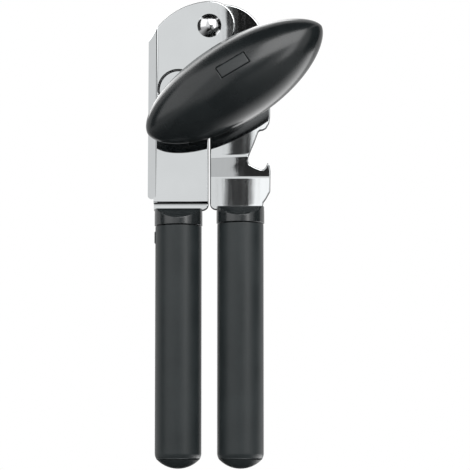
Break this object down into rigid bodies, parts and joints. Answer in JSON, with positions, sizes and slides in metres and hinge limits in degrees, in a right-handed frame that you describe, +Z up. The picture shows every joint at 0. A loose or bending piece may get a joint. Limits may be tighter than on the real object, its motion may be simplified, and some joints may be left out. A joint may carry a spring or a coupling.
{
  "type": "manual can opener",
  "caption": "Hand-held can opener: two pivoted steel levers with round black grips, a long black turning knob, geared cutting and feed wheels, and a crown-cap notch.",
  "frame": {"origin": "on the path of the can's rim between the two wheels, level with the cutting wheel's axle", "axes": "+X to the right seen from the knob's side, +Y away from the knob towards the can, +Z up from the grips to the pivot"},
  "size_m": [0.0675, 0.0425, 0.1802],
  "materials": {
    "lever_steel": "polished",
    "rivet_steel": "polished",
    "gear_steel": "satin",
    "wheel_steel": "ground",
    "grip_rubber": "matte",
    "collar_plastic": "satin",
    "knob_plastic": "glossy",
    "badge_plastic": "satin",
    "core_plastic": "matte"
  },
  "bodies": {
    "right_arm": {"right_lever": "lever_steel", "spindle_bushing": "gear_steel", "right_core": "core_plastic", "right_collar": "collar_plastic", "right_grip": "grip_rubber"},
    "left_arm": {"left_lever": "lever_steel", "pivot_rivet": "rivet_steel", "pivot_washer": "rivet_steel", "cutter_axle": "rivet_steel", "cutter_standoff": "gear_steel", "left_core": "core_plastic", "left_collar": "collar_plastic", "left_grip": "grip_rubber"},
    "drive": {"spindle": "rivet_steel", "drive_gear": "gear_steel", "feed_wheel": "wheel_steel", "spindle_washer": "rivet_steel", "spring_washer": "rivet_steel", "knob_core": "collar_plastic", "knob_cover": "knob_plastic", "knob_badge": "badge_plastic"},
    "cutter": {"driven_gear": "gear_steel", "cutter_hub": "gear_steel", "cutting_wheel": "wheel_steel"}
  },
  "joints": [
    {"name": "lever_hinge", "type": "hinge", "parent": "right_arm", "child": "left_arm", "pos_m": [0, -0.0106, 0.025], "axis": [0, 1, 0], "range_deg": [0, 45]},
    {"name": "knob_spin", "type": "hinge", "parent": "right_arm", "child": "drive", "pos_m": [0.01005, -0.0098, 0.0015], "axis": [0, 1, 0], "continuous": true},
    {"name": "cutter_spin", "type": "hinge", "parent": "left_arm", "child": "cutter", "pos_m": [-0.0119, -0.003, 0], "axis": [0, 1, 0], "continuous": true}
  ],
  "couplings": [
    {"joint": "cutter_spin", "follows": "knob_spin", "ratio": -1}
  ]
}
